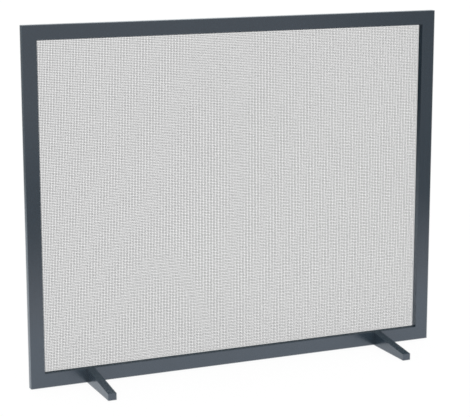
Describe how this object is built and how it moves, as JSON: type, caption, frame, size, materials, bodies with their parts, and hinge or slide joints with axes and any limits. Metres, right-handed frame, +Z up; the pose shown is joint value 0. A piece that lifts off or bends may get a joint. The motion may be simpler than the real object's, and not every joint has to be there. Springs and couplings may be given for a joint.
{
  "type": "fireplace screen",
  "caption": "Free-standing flat fireplace screen: a rectangular tube frame filled with fine woven wire mesh, on two tapered bar feet that reach forward.",
  "frame": {"origin": "centre of the bottom rail's underside, on the floor, midway through the depth of the frame tube", "axes": "+Z up; +X along the screen, to the right as seen from the front; -Y towards the room (the front, where the long feet reach), +Y towards the fire"},
  "size_m": [0.99, 0.211, 0.788],
  "materials": {
    "frame_paint": "satin slate-grey powder coat",
    "strip_paint": "satin slate-grey powder coat",
    "screw_paint": "satin slate-grey paint",
    "mesh_wire": "satin dark grey paint on woven steel wire"
  },
  "bodies": {
    "root": {"top_rail": "frame_paint", "bottom_rail": "frame_paint", "left_stile": "frame_paint", "right_stile": "frame_paint", "warp_wires": "mesh_wire", "weft_wires": "mesh_wire", "top_strip": "strip_paint", "bottom_strip": "strip_paint", "left_strip": "strip_paint", "right_strip": "strip_paint", "strip_screws": "screw_paint", "left_front_foot": "frame_paint", "right_front_foot": "frame_paint", "left_rear_heel": "frame_paint", "right_rear_heel": "frame_paint"}
  },
  "joints": []
}
